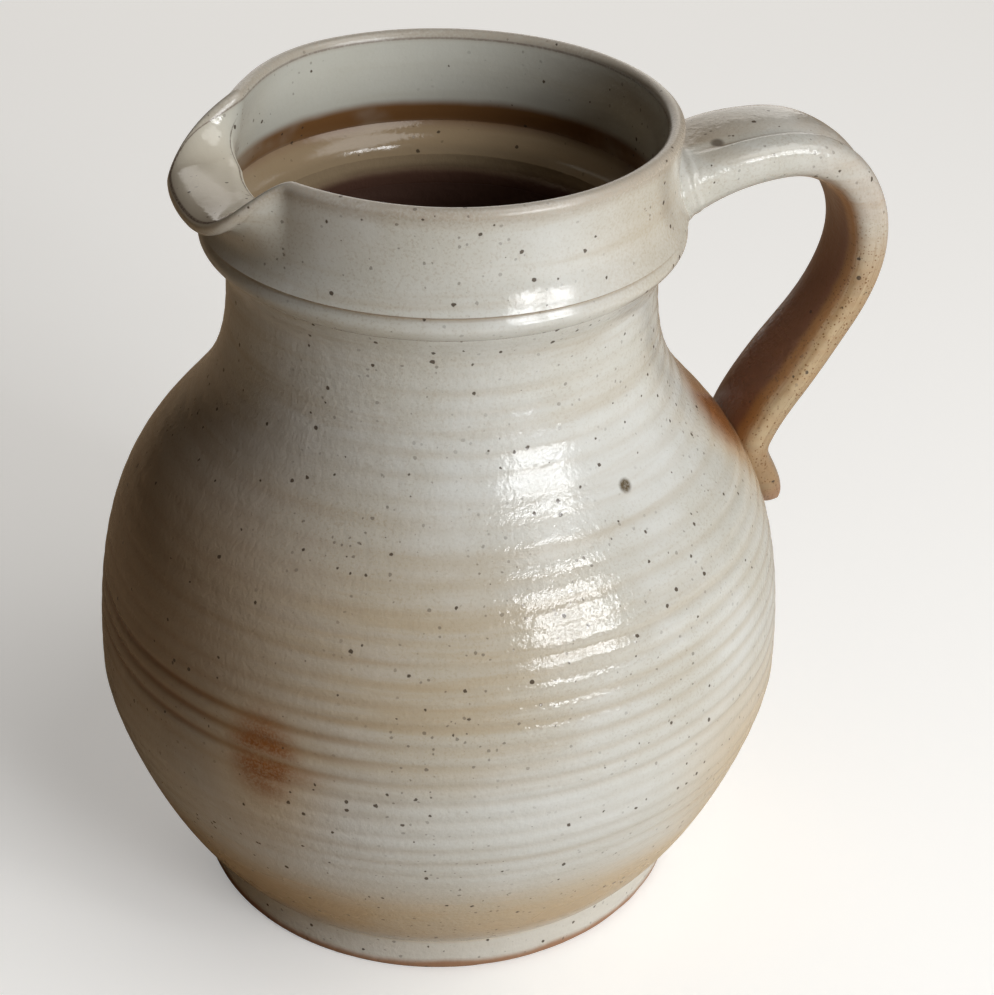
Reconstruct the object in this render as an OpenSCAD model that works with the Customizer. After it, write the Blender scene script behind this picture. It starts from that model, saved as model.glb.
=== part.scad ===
/* [Foot] */
// How far the foot band stands in from the radius where the belly starts
foot_in = 1.5; // [0.5:0.1:4]
// How far the foot band draws in towards the table
foot_taper = 0.5; // [0:0.1:4]
// Height of the foot band
foot_h = 11.5; // [9:0.5:16]
// Width of the standing ring
foot_w = 10; // [7:0.5:14]
// Depth of the turned recess under the floor
recess_h = 6; // [4.5:0.5:8]
// Bevel on the lower edges of the foot
foot_bevel = 1; // [0.5:0.1:2]

/* [Belly] */
// Radius where the belly starts, above the foot band
base_r = 66.8; // [66:0.1:72]
// Lean of the wall from upright where the belly starts
base_lean = 43; // [35:1:50]
// Widest radius of the belly
belly_r = 89.2; // [84:0.1:96]
// Height from the foot band to the widest part
belly_rise = 52; // [42:1:62]
// Height from the widest part to the narrowest part of the neck
shoulder_rise = 107.5; // [98:0.5:120]
// Thickness of the thrown wall
wall = 6; // [4.5:0.1:7]
// Thickness of the floor
floor_t = 8; // [6:0.5:12]
// Rounding between the floor and the wall inside
floor_round = 12; // [8:1:16]

/* [Throwing rings] */
// Height of one throwing ring
ring_pitch = 4.95; // [4:0.05:7]
// Depth of the grooves on the belly
ring_depth = 0.7; // [0.3:0.1:1]
// Height of the plain band between the foot and the first ring
ring_rise = 33.6; // [10:0.2:40]
// Height of the plain band above the last ring
ring_margin = 6; // [2:0.5:10]

/* [Neck and collar] */
// How far the narrowest part of the neck stands in from the foot of the collar
neck_in = 3.4; // [2:0.1:6]
// Height from the narrowest part to the foot of the collar
neck_rise = 7.8; // [6:0.2:12]
// Lean of the neck from upright where it meets the collar
neck_lean = 27; // [15:1:35]
// How far the rounded ridge stands in from the collar's radius
ridge_in = 0.1; // [0:0.1:1]
// How far the rounded ridge stands out over the foot of the collar
ridge_out = 2.5; // [1.5:0.1:3]
// Height of the ridge, up to the groove
ridge_h = 5.9; // [5:0.1:7]
// Depth of the groove above the ridge
groove_depth = 0.9; // [0.5:0.1:1.2]
// Height of the groove's upper side
groove_h = 1.2; // [0.8:0.1:2]
// Height from the groove to the rim
collar_h = 25.3; // [22:0.2:30]
// Radius of the collar just above the groove
collar_r = 58.6; // [56:0.1:63]
// Thickness of the collar's wall just above the groove
collar_t = 5.9; // [5:0.1:6.5]
// Lean of the collar's outside inwards from upright just above the groove
collar_lean = 28; // [18:1:32]
// Lean of the collar's inside inwards from upright just above the groove
throat_lean = 18; // [8:1:22]
// How far the middle of the rim stands in from the collar's radius
rim_in = 4.1; // [3:0.1:6]
// Thickness of the rim
rim_t = 3.8; // [3:0.1:4.5]
// Lean of the rim outwards from upright
rim_lean = 7; // [2:1:12]

/* [Pouring lip] */
// Turn of the lip away from the place straight across from the handle
lip_turn = 6; // [-10:0.5:10]
// Half of the rim's angle that is pinched and pulled
lip_span = 78; // [70:1:85]
// Half angle of the pouring lip itself
lip_half = 24; // [20:1:30]
// Half of the angle over which the rim turns into the lip
lip_blend = 10; // [9:0.5:14]
// How far the lip reaches past the rim
lip_reach = 8.8; // [7:0.1:12]
// How far the lip's edge hangs below the rim
lip_droop = 15.6; // [10:0.1:18]
// Thickness of the lip's edge
lip_t = 3.5; // [3:0.1:4.5]
// Slope of the lip below level
lip_slope = 42; // [30:1:50]
// Height of the sill, where the wall turns out into the lip, below the rim
sill_drop = 13.4; // [11:0.1:15]
// How far the sill stands inside the middle of the rim
sill_in = 5.4; // [3:0.1:6]
// How sharply the wall turns over the sill: the run of its tangent
sill_round = 2.7; // [1.5:0.1:5]
// How far the hollow under the lip stands in from the collar's radius
hollow_in = 4; // [2:0.1:4.5]
// How far the rim is pinched in beside the lip
lip_pinch = 4; // [1:0.2:5]
// How far the edge swells where the rim turns into the lip
lip_swell = 1.4; // [1:0.1:3]

/* [Handle] */
// Width of the strap at its top
strap_w = 30; // [25:0.5:34]
// Width of the strap in the middle of its fall
strap_mid_w = 24; // [20:0.5:30]
// Width of the strap at the elbow
strap_end_w = 27.5; // [20:0.5:30]
// Thickness of the strap
strap_t = 11.6; // [9:0.2:14]
// Depth of the thumb groove along the strap
strap_groove = 1.5; // [0.5:0.1:2]
// Place of the thumb groove off the strap's middle, as a share of half its width
groove_off = -0.3; // [-0.5:0.05:0.5]
// Reach of the strap's middle past the collar's radius
strap_reach = 50.1; // [42:0.1:56]
// Depth of the strap's farthest point below the foot of the collar
strap_drop = 11; // [6:0.5:16]
// Reach of the strap's crest past the collar's radius
crest_reach = 24.2; // [19:0.1:27]
// Height of the strap's crest above the foot of the collar
crest_rise = 15.7; // [13:0.1:19]

/* [Handle joins] */
// How far the strap's upper end is bedded in the collar
root_in = 4.3; // [3.5:0.1:5.5]
// Height of the strap's upper end above the foot of the collar
root_rise = 8.5; // [7:0.5:11]
// Lean of the strap's upper end above level
root_lean = 24; // [10:1:30]
// Width of the worked clay where it meets the collar
root_w = 37; // [35:0.5:42]
// How far the worked clay hangs below the strap where it meets the collar
root_drop = 3; // [1.5:0.1:5]
// How far the worked clay rises over the strap where it meets the collar
root_lift = 1; // [0.5:0.1:2]
// Height of the elbow, where the strap meets the belly, above the widest part
elbow_rise = 52.5; // [46:0.5:56]
// Lean of the strap from upright at the elbow
elbow_lean = 22; // [10:1:28]
// How far the handle's lower end is pressed into the belly's clay
tail_press = 0.6; // [0.2:0.1:1.2]
// Length of the tail along the belly
tail_l = 20; // [16:0.5:26]
// Lean of the tail's end from upright, away from the belly
tail_lean = 20; // [10:1:24]
// Width of the tail at its end
tail_w = 25; // [20:0.5:28]
// Thickness of the tail on the belly
tail_t = 9; // [5:0.5:10]

/* [Hidden] */
$fn = 120;

// Radii, each tied to the one that carries it
foot_top_r = base_r - foot_in;
foot_r = foot_top_r - foot_taper;
ridge_r = collar_r - ridge_in;
ridge_foot_r = ridge_r - ridge_out;
neck_r = ridge_foot_r - neck_in;
rim_r = collar_r - rim_in;

// Heights above the table
belly_z = foot_h + belly_rise;
neck_z = belly_z + shoulder_rise;
collar_z = neck_z + neck_rise;
groove_z = collar_z + ridge_h;
seat_z = groove_z + groove_h;
rim_z = groove_z + collar_h;
floor_z = recess_h + floor_t;

function mix(a, b, t) = a + (b - a) * t;
function smooth(a, b, x) = let (t = min(1, max(0, (x - a) / (b - a)))) t * t * (3 - 2 * t);
function bez(p, t) =
    let (s = 1 - t)
        s * s * s * p[0] + 3 * s * s * t * p[1] + 3 * s * t * t * p[2] + t * t * t * p[3];
function bez_way(p, t) = let (d = bez(p, t + 0.001) - bez(p, t - 0.001)) d / norm(d);

// Outline of the thrown wall, without its rings. The shares are of the rise of each curve.
base_share = 0.34;
belly_share = 0.15;
shoulder_share = 0.72;
neck_share = 0.49;
flare_share = 0.4;
base_p = [base_r, foot_h];
belly_p = [belly_r, belly_z];
neck_p = [neck_r, neck_z];
collar_p = [ridge_foot_r, collar_z];
low_curve = [
    base_p,
    base_p + base_share * belly_rise * [sin(base_lean), cos(base_lean)],
    belly_p - [0, belly_share * belly_rise],
    belly_p
];
high_curve = [
    belly_p,
    belly_p + [0, shoulder_share * shoulder_rise],
    neck_p - [0, neck_share * shoulder_rise],
    neck_p
];
neck_curve = [
    neck_p,
    neck_p + [0, flare_share * neck_rise],
    collar_p - flare_share * neck_rise * [sin(neck_lean), cos(neck_lean)],
    collar_p
];
curve_steps = 16;
function wall_run(depth) = [
    for (c = [low_curve, high_curve, neck_curve], i = [0 : curve_steps])
        let (t = i / curve_steps, d = bez_way(c, t))
            bez(c, t) + depth * [-d[1], d[0]]
];
skin = [for (p = wall_run(0)) [p[1], p[0]]];
function skin_r(z) = lookup(z, skin);

// Throwing rings: a narrow groove, then a broad ridge, growing fainter up the shoulder
ring_points = [0, 0.3, 0.7];
plain_steps = 10;
faint_share = 0.25;
faint_rise = 0.65 * shoulder_rise;
faint_z = belly_z + faint_rise;
ring_z = foot_h + ring_rise;
ring_count = floor((collar_z - ring_margin - ring_z) / ring_pitch);
function ring_cut(z) = ring_depth * mix(1, faint_share, smooth(belly_z, faint_z, z));
body_outline = concat(
    [for (i = [0 : plain_steps - 1]) let (z = mix(foot_h, ring_z, i / plain_steps)) [skin_r(z), z]],
    [
        for (i = [0 : ring_count - 1], s = ring_points)
            let (z = ring_z + (i + s) * ring_pitch)
                [skin_r(z) - (s == 0 ? ring_cut(z) : 0), z]
    ],
    [collar_p]
);

// Inside of the thrown wall, rounded down to the floor
mouth_r = ridge_foot_r - wall;
inner_wall = [for (p = wall_run(wall)) if (p[1] > floor_z + floor_round && p[1] < collar_z) p];
corner_r = inner_wall[0][0];
corner_step = 18;
hollow_outline = concat(
    [[0, floor_z]],
    [
        for (a = [0 : corner_step : 90 - corner_step])
            [corner_r, floor_z] + floor_round * [sin(a) - 1, 1 - cos(a)]
    ],
    inner_wall,
    [[mouth_r, collar_z]]
);
plug_r = foot_r - foot_w - foot_bevel;

// Outside and inside of the plain collar wall, from its seat above the groove to the rim
collar_share = 0.32;
rim_share = 0.36;
rim_p = [rim_r, rim_z - rim_t / 2];
wall_h = rim_p[1] - seat_z;
rim_way = [sin(rim_lean), cos(rim_lean)];
function across_way(d) = [d[1], -d[0]];
function plain_line(seat, lean, side) =
    let (end = rim_p + side * rim_t / 2 * across_way(rim_way))
        [
            seat,
            seat + collar_share * wall_h * [-sin(lean), cos(lean)],
            end - rim_share * wall_h * rim_way,
            end
        ];
outer_seat = [collar_r, seat_z];
inner_seat = [collar_r - collar_t, seat_z];
outer_line = plain_line(outer_seat, collar_lean, 1);
inner_line = plain_line(inner_seat, throat_lean, -1);

// Outside and inside of the lip: the inside rises to a sill and rolls over it down to the edge,
// and the outside hollows in under the edge
sill_at = 0.42;
throat_run = 3.2;
tongue_run = 6.5;
hollow_run = 5.5;
brow_run = 3.8;
lip_p = [rim_r + lip_reach, rim_z - lip_droop];
lip_way = [cos(lip_slope), -sin(lip_slope)];
lip_over = lip_p - lip_t / 2 * across_way(lip_way);
lip_under = lip_p + lip_t / 2 * across_way(lip_way);
sill_p = [rim_r - sill_in, rim_z - sill_drop];
throat_line = [
    inner_seat,
    inner_seat + throat_run * [-sin(throat_lean), cos(throat_lean)],
    sill_p - [0, throat_run],
    sill_p
];
tongue_line = [sill_p, sill_p + [0, sill_round], lip_over - tongue_run * lip_way, lip_over];
hollow_line = [
    outer_seat,
    outer_seat + [-hollow_in, hollow_run],
    lip_under - brow_run * lip_way,
    lip_under
];
function lip_inside(v) =
    v < sill_at ? bez(throat_line, v / sill_at) : bez(tongue_line, (v - sill_at) / (1 - sill_at));

// Edge of the collar at an angle from the middle of the lip
function lip_pull(a) = 1 - smooth(lip_half - lip_blend, lip_half + lip_blend, abs(a));
function pinch(a) =
    lip_pinch * (1 - lip_pull(a)) * (1 - smooth(lip_half + lip_blend, lip_span, abs(a)));
function swell(a) = 4 * lip_swell * lip_pull(a) * (1 - lip_pull(a));
function edge_shift(a) = swell(a) * [cos(lip_slope), sin(lip_slope)] - [pinch(a), 0];
function edge_p(a) = mix(rim_p, lip_p, lip_pull(a)) + edge_shift(a);
function edge_way(a) = let (d = mix(rim_way, lip_way, lip_pull(a))) d / norm(d);
function edge_half(a) = mix(rim_t, lip_t, lip_pull(a)) / 2;

// Side of the collar's wall, 1 outside and -1 inside, from v = 0 at the seat to v = 1 at the edge
settle_from = 0.35;
function wall_side(v, a, side) =
    let (
        pull = lip_pull(a),
        plain = side > 0 ? outer_line : inner_line,
        pulled = side > 0 ? bez(hollow_line, v) : lip_inside(v),
        end = mix(plain[3], side > 0 ? lip_under : lip_over, pull) + edge_shift(a),
        edge = edge_p(a) + side * edge_half(a) * across_way(edge_way(a))
    )
        mix(bez(plain, v), pulled, pull) + v * v * edge_shift(a)
        + smooth(settle_from, 1, v) * (edge - end);
wall_steps = 20;
cap_steps = 6;
half_turn = 180;
function wall_loop(a) = concat(
    [for (i = [0 : wall_steps]) wall_side(i / wall_steps, a, 1)],
    [
        for (i = [1 : cap_steps - 1])
            let (d = edge_way(a), t = half_turn * i / cap_steps)
                edge_p(a) + edge_half(a) * (cos(t) * across_way(d) + sin(t) * d)
    ],
    [for (i = [wall_steps : -1 : 0]) wall_side(i / wall_steps, a, -1)]
);

// Foot of the collar: rounded ridge and groove outside, opening up from the neck inside
ridge_steps = 8;
groove_r = ridge_r - groove_depth;
ridge_swell = ridge_r - mix(ridge_foot_r, groove_r, 0.5);
collar_foot = [
    for (i = [0 : ridge_steps])
        let (t = i / ridge_steps)
            [mix(ridge_foot_r, groove_r, t) + ridge_swell * sin(half_turn * t), collar_z + ridge_h * t]
];
ledge_share = 0.4;
collar_inside = [[mix(mouth_r, inner_seat[0], ledge_share), groove_z], [mouth_r, collar_z]];

// Middle line of the handle. Along it u is 0 in the collar's wall, 1 at the crest, 2 at the
// farthest point, 3 at the elbow and 4 at the end of the tail.
root_share = 0.6;
quarter_share = 0.57;
fall_share = 0.37;
tail_share = 0.38;
elbow_z = belly_z + elbow_rise;
tail_z = elbow_z - tail_l;
root_p = [collar_r - root_in, collar_z + root_rise];
crest_p = [collar_r + crest_reach, collar_z + crest_rise];
far_p = [collar_r + strap_reach, collar_z - strap_drop];
elbow_p = [skin_r(elbow_z) + tail_t / 2 - tail_press, elbow_z];
tail_p = [skin_r(tail_z) + tail_t / 2 - tail_press, tail_z];
crest_in = quarter_share * crest_reach;
crest_out = quarter_share * (strap_reach - crest_reach);
far_up = quarter_share * (crest_rise + strap_drop);
fall = fall_share * (far_p[1] - elbow_z);
root_way = [cos(root_lean), sin(root_lean)];
elbow_way = [sin(elbow_lean), cos(elbow_lean)];
tail_way = [-sin(tail_lean), cos(tail_lean)];
handle_curves = [
    [root_p, root_p + root_share * crest_rise * root_way, crest_p - [crest_in, 0], crest_p],
    [crest_p, crest_p + [crest_out, 0], far_p + [0, far_up], far_p],
    [far_p, far_p - [0, fall], elbow_p + fall * elbow_way, elbow_p],
    [elbow_p, elbow_p - tail_share * tail_l * elbow_way, tail_p + tail_share * tail_l * tail_way, tail_p]
];
function handle_at(u) = let (i = min(3, floor(u))) bez(handle_curves[i], u - i);
function handle_way(u) = let (i = min(3, floor(u))) bez_way(handle_curves[i], u - i);

// Where along the handle its clay changes hands, narrows, thins and rounds off
root_end = 0.34;
drop_end = 1.7;
narrow_from = 0.6;
narrow_to = 2;
widen_from = 2.35;
thin_from = 1.6;
tail_start = 2.74;
bed_from = 2.6;
tail_bed = 1.2;
thin_to = 3.1;
spread_from = 3.2;
round_from = 3.4;
tail_end = 4;
round_to = 4.01;
function root_part(u) = 1 - smooth(0, root_end, u);
function tail_part(u) = smooth(thin_from, thin_to, u);
function strap_width(u) =
    mix(strap_w, strap_mid_w, smooth(narrow_from, narrow_to, u))
    + (strap_end_w - strap_mid_w) * smooth(widen_from, tail_start, u)
    + (root_w - strap_w) * root_part(u)
    + (tail_w - strap_end_w) * smooth(spread_from, tail_end, u);
function end_round(u) = sqrt(1 - pow(max(0, u - round_from) / (round_to - round_from), 2));
function strap_over(u) =
    mix(strap_t, tail_t, tail_part(u)) / 2 * end_round(u) + root_lift * root_part(u);
function strap_under(u) =
    mix(strap_t, tail_t, tail_part(u)) / 2 + tail_bed * smooth(bed_from, thin_to, u)
    + root_drop * (1 - smooth(0, drop_end, u));
function groove_at(u) =
    strap_groove * smooth(root_end, narrow_from, u) * (1 - smooth(widen_from, thin_to, u));

// Section of the strap: a rounded oblong with a thumb groove along its outer face
section_sides = 28;
groove_share = 0.2;
section_power = 4;
function strap_section(u) = [
    for (i = [0 : section_sides - 1])
        let (
            a = 360 * i / section_sides,
            across = cos(a),
            up = sign(sin(a)) * pow(1 - pow(across, section_power), 1 / section_power),
            dip = groove_at(u) * exp(-pow((across - groove_off) / groove_share, 2)),
            lift = up > 0 ? up * strap_over(u) - dip : up * strap_under(u),
            d = handle_way(u),
            p = handle_at(u) + lift * [-d[1], d[0]]
        )
            [p[0], across * strap_width(u) / 2, p[1]]
];

// Skin stretched over closed rings that have the same number of points
module loft(rings) {
    n = len(rings[0]);
    m = len(rings);
    start = [
        for (i = [0 : ceil(n / 2) - 2]) each [
            [i, i + 1, n - 1 - i],
            if (i + 1 < n - 2 - i) [i + 1, n - 2 - i, n - 1 - i]
        ]
    ];
    finish = [for (f = start) [for (k = [2, 1, 0]) (m - 1) * n + f[k]]];
    sides = [
        for (j = [0 : m - 2], i = [0 : n - 1], half = [0, 1])
            let (a = j * n + i, b = j * n + (i + 1) % n)
                half == 0 ? [a, a + n, b] : [b, a + n, b + n]
    ];
    polyhedron([for (r = rings) each r], concat(start, finish, sides));
}

// Stretch of the handle between two places along it
strap_step = 0.058;
module strap(from, to) {
    steps = ceil((to - from) / strap_step);
    loft([for (i = [0 : steps]) strap_section(mix(from, to, i / steps))]);
}

// The thrown wall filled in, which the handle's tail is pressed on
module body_form() {
    rotate_extrude() polygon(concat(body_outline, [[0, collar_z], [0, foot_h]]));
}

// The collar filled in, which the handle's root is pressed on
module collar_form() {
    rotate_extrude() polygon(concat(
        collar_foot,
        [for (i = [0 : wall_steps]) wall_side(i / wall_steps, half_turn, 1)],
        [[0, rim_z], [0, collar_z]]
    ));
}

module foot_ring() {
    color("#a8916f")
        rotate_extrude() polygon([
            [foot_r - foot_w, 0],
            [foot_r - foot_bevel, 0],
            [foot_r, foot_bevel],
            [foot_top_r, foot_h],
            [plug_r, foot_h],
            [plug_r, foot_bevel]
        ]);
}

module thrown_body() {
    color("#cdc6b6") {
        difference() {
            body_form();
            rotate_extrude() polygon(concat(hollow_outline, [[0, collar_z]]));
        }
        translate([0, 0, recess_h])
            cylinder(r = plug_r, h = foot_h - recess_h);
    }
}

module neck_collar() {
    color("#d2cec2")
        difference() {
            rotate_extrude() polygon(concat(collar_foot, wall_loop(half_turn), collar_inside));
            rotate([0, 0, half_turn + lip_turn - lip_span])
                rotate_extrude(angle = 2 * lip_span)
                    translate([neck_r - wall, seat_z])
                        square([collar_r, rim_z]);
        }
}

// Rim pulled out by hand into a pouring lip, with the rim pinched in on both sides of it
lip_steps = 60;
module pouring_lip() {
    color("#c9c1b0")
        loft([
            for (i = [0 : lip_steps])
                let (a = mix(lip_span, -lip_span, i / lip_steps), turn = half_turn + lip_turn + a)
                    [for (p = wall_loop(a)) [p[0] * cos(turn), p[0] * sin(turn), p[1]]]
        ]);
}

module strap_handle() {
    color("#c2a377")
        strap(root_end, tail_start);
}

module handle_root() {
    color("#cfc9bb")
        difference() {
            strap(0, root_end);
            collar_form();
        }
}

module handle_tail() {
    color("#b08c5c")
        difference() {
            strap(tail_start, tail_end);
            body_form();
        }
}

foot_ring();
thrown_body();
neck_collar();
pouring_lip();
strap_handle();
handle_root();
handle_tail();
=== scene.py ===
from math import atan2, cos, degrees, exp, hypot, pi, radians, sin, sqrt

import bmesh
import bpy
from mathutils import Matrix, Vector, noise


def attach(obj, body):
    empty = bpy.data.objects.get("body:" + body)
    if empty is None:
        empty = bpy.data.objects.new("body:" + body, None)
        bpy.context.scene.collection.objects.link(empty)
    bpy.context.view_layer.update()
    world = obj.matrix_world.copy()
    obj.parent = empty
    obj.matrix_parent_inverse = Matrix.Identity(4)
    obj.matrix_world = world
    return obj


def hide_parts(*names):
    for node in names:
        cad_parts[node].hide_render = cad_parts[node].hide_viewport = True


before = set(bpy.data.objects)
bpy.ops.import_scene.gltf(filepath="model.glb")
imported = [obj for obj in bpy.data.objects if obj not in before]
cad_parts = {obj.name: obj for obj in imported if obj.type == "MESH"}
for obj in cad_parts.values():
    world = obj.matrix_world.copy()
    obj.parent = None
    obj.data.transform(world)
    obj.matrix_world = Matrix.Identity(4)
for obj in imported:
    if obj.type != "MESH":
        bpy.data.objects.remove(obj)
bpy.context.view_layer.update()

mm = 0.001
mergeGap = 1e-6  # metres, points nearer than this are one


def mix(a, b, t):
    return a + (b - a) * t


def smooth(a, b, x):
    t = min(1.0, max(0.0, (x - a) / (b - a)))
    return t * t * (3 - 2 * t)


def bezier(p, t):
    s = 1 - t
    return p[0] * s ** 3 + p[1] * 3 * s * s * t + p[2] * 3 * s * t * t + p[3] * t ** 3


def curve(*points):
    p = [Vector(q) for q in points]
    return lambda t: bezier(p, t)


def through(points):  # a smooth line through points, from 0 to 1
    p = [Vector(q) for q in points]
    p = [p[0] * 2 - p[1]] + p + [p[-1] * 2 - p[-2]]
    runs = len(p) - 3

    def at(t):
        i = min(runs - 1, max(0, int(t * runs)))
        u = t * runs - i
        a, b, c, d = p[i:i + 4]
        return (b * 2 + (c - a) * u + (a * 2 - b * 5 + c * 4 - d) * u * u
                + (b * 3 - a - c * 3 + d) * u ** 3) / 2
    return at


def steps(count, first=0, last=None):
    return [i / count for i in range(first, (count if last is None else last) + 1)]


def quarterTurn(count):  # angles of a quarter circle, without its start
    return [pi / 2 * t for t in steps(count, 1)]


def deselect():
    bpy.ops.object.select_all(action="DESELECT")


def editAll():
    bpy.ops.object.mode_set(mode="EDIT")
    bpy.ops.mesh.select_all(action="SELECT")


# Camera, where the photograph was taken from, in mm
cameraSet = dict(place=(-125.6, -468.7, 407.3), aim=(14.04, -3.76, 103.6), lens=80.01, roll=0.025, nearest=10)


def makeCamera(s):
    place, aim = Vector(s["place"]) * mm, Vector(s["aim"]) * mm
    ahead = (aim - place).normalized()
    right = ahead.cross(Vector((0, 0, 1))).normalized()
    up = right.cross(ahead)
    c, k = cos(s["roll"]), sin(s["roll"])
    turned = Matrix((right * c + up * k, up * c - right * k, -ahead)).transposed()
    deselect()
    bpy.ops.object.camera_add()
    camera = bpy.context.object
    camera.name = "photo_camera"
    camera.matrix_world = Matrix.Translation(place) @ turned.to_4x4()
    camera.data.lens = s["lens"]
    camera.data.clip_start = s["nearest"] * mm
    bpy.context.scene.camera = camera


makeCamera(cameraSet)
print("camera placed")


# Lathe: one point drawn along a profile by extruding it, then spun round the axis
def lathe(name, profile, turns):
    deselect()
    bpy.ops.mesh.primitive_plane_add(size=mm)
    piece = bpy.context.object
    piece.name = piece.data.name = name
    editAll()
    bpy.ops.mesh.merge(type="CENTER")
    points = [Vector((p[0] * mm, 0, p[1] * mm)) for p in profile]
    bpy.ops.transform.translate(value=points[0])
    for a, b in zip(points, points[1:]):
        bpy.ops.mesh.extrude_region_move(TRANSFORM_OT_translate={"value": b - a})
    shape = bmesh.from_edit_mesh(piece.data)
    row = shape.verts.layers.int.new("row")  # where along the profile a point stands
    shape.verts.ensure_lookup_table()
    for i, v in enumerate(shape.verts):
        v[row] = i
    bmesh.update_edit_mesh(piece.data)
    bpy.ops.mesh.select_all(action="SELECT")
    bpy.ops.mesh.spin(steps=turns, angle=2 * pi, center=(0, 0, 0), axis=(0, 0, 1))
    bpy.ops.mesh.select_all(action="SELECT")
    bpy.ops.mesh.remove_doubles(threshold=mergeGap)
    bpy.ops.mesh.normals_make_consistent(inside=False)
    bpy.ops.object.mode_set(mode="OBJECT")
    return piece


def paint(piece, layers):  # values at each point, for the glaze to read
    for name, values in layers.items():
        layer = piece.data.attributes.new(name, "FLOAT", "POINT")
        layer.data.foreach_set("value", values)


def finishPiece(piece, nodes, material, sharpFrom=50):
    deselect()
    piece.select_set(True)
    bpy.context.view_layer.objects.active = piece
    bpy.ops.object.shade_smooth_by_angle(angle=radians(sharpFrom))
    piece.data.materials.clear()
    piece.data.materials.append(material)
    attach(piece, "root")
    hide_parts(*nodes)
    print(piece.name, len(piece.data.polygons), "faces")


# Thrown wall, in mm: a share is how far a curve's handle reaches along that curve's height
bodyForm = dict(
    baseR=66.8, baseZ=11.5, baseLean=43, bellyR=89.15, bellyZ=63.5, neckR=52.6, neckZ=171,
    mouthR=56.0, mouthZ=178.8, mouthLean=27,
    baseShare=0.34, lowShare=0.15, highShare=0.72, neckShare=0.49, flareShare=0.4,
    wall=6, floorZ=14, underZ=6, plugR=53.8, floorRound=12, floorRings=(0.55, 0.25, 0), ledgeR=47.3,
    step=0.45, skinStep=0.1, slopeStep=0.01, curveSteps=120, turns=192, heldRows=2,
    insideRows=26, bendRows=8, mouthGap=0.2, rowGap=0.3,
    # throwing rings, counted up from ringZ
    ringZ=45.1, ringPitch=4.95, ringDepth=0.17, scallop=0.19, grooveW=0.2,
    ringWander=0.8, wanderTurn=1.3, wanderZ=30,
    ringForce=0.72, ringLuck=0.55, luckStep=7.31, luckTurn=0.8, leastForce=0.1,
    strong={6: 0.3, 7: 0.1, 8: 0.1, 9: 0.15, 10: 0.4, 11: 0.3, 13: 0.2, 15: 0.3, 17: 0.2},
    ringStart=(38.1, 57.1), ringEnd=(164, 172), highFrom=(98, 126), highRings=0.6,
    plainSide=-175, plainFrom=(0.35, 0.85), plainFade=0.75, plainMarks=(7, 8, 9),
    wobble=0.3, wobbleSize=38, wobbleEnd=8,
)


def bodyCurves(s):
    base, belly = Vector((s["baseR"], s["baseZ"])), Vector((s["bellyR"], s["bellyZ"]))
    neck, mouth = Vector((s["neckR"], s["neckZ"])), Vector((s["mouthR"], s["mouthZ"]))
    low, high, flare = belly.y - base.y, neck.y - belly.y, s["flareShare"] * (mouth.y - neck.y)
    lean, out = radians(s["baseLean"]), radians(s["mouthLean"])
    baseWay, mouthWay = Vector((sin(lean), cos(lean))), Vector((sin(out), cos(out)))
    up = Vector((0, 1))
    return [
        [base, base + s["baseShare"] * low * baseWay, belly - s["lowShare"] * low * up, belly],
        [belly, belly + s["highShare"] * high * up, neck - s["neckShare"] * high * up, neck],
        [neck, neck + flare * up, mouth - flare * mouthWay, mouth],
    ]


def lookUp(line, z):
    for a, b in zip(line, line[1:]):
        if a.y <= z <= b.y and b.y > a.y:
            return mix(a.x, b.x, (z - a.y) / (b.y - a.y))
    return line[0].x if z < line[0].y else line[-1].x


def skinRadii(s):  # radius of the plain wall at even steps of height
    line = [bezier(c, t) for c in wallCurves for t in steps(s["curveSteps"])]
    count = round((s["mouthZ"] - s["baseZ"]) / s["skinStep"]) + 2
    return [lookUp(line, s["baseZ"] + s["skinStep"] * i) for i in range(count)]


wallCurves = bodyCurves(bodyForm)
skinTable = skinRadii(bodyForm)


def skinR(z):
    t = max(0.0, (z - bodyForm["baseZ"]) / bodyForm["skinStep"])
    i = min(len(skinTable) - 2, int(t))
    return mix(skinTable[i], skinTable[i + 1], min(1.0, t - i))


def ringAt(s, z, turn):  # depth of the throwing marks, and how deep in a groove the point is
    c, k = cos(turn), sin(turn)
    wander = noise.noise(Vector((c * s["wanderTurn"], k * s["wanderTurn"], z / s["wanderZ"])))
    place = (z + s["ringWander"] * wander - s["ringZ"]) / s["ringPitch"]
    ring = round(place)
    away = abs(place - ring)
    groove = exp(-(away / s["grooveW"]) ** 2)
    luck = noise.noise(Vector((ring * s["luckStep"], c * s["luckTurn"], k * s["luckTurn"])))
    force = s["ringForce"] + s["strong"].get(ring, 0) + s["ringLuck"] * luck
    plain = smooth(*s["plainFrom"], cos(turn - radians(s["plainSide"])))
    force *= 1 - s["plainFade"] * plain
    if ring in s["plainMarks"]:
        force += plain
    fade = smooth(*s["ringStart"], z) * mix(1, s["highRings"], smooth(*s["highFrom"], z))
    force = max(s["leastForce"], force) * fade * (1 - smooth(*s["ringEnd"], z))
    return force * (s["ringDepth"] * groove + s["scallop"] * cos(pi * away) ** 2), force * groove


def innerWall(s):  # the wall's inner side, from the mouth down to the bend of the floor
    low, high, h = s["floorZ"] + s["floorRound"], s["mouthZ"] - s["mouthGap"], s["slopeStep"]
    rows = []
    for c in reversed(wallCurves):
        for t in reversed(steps(s["insideRows"])):
            way = (bezier(c, min(1, t + h)) - bezier(c, max(0, t - h))).normalized()
            p = bezier(c, t) + s["wall"] * Vector((-way.y, way.x))
            if low < p.y < high and (not rows or p.y < rows[-1][1] - s["rowGap"]):
                rows.append((min(p.x, s["ledgeR"]) if p.y > s["neckZ"] else p.x, p.y))
    return rows


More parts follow.
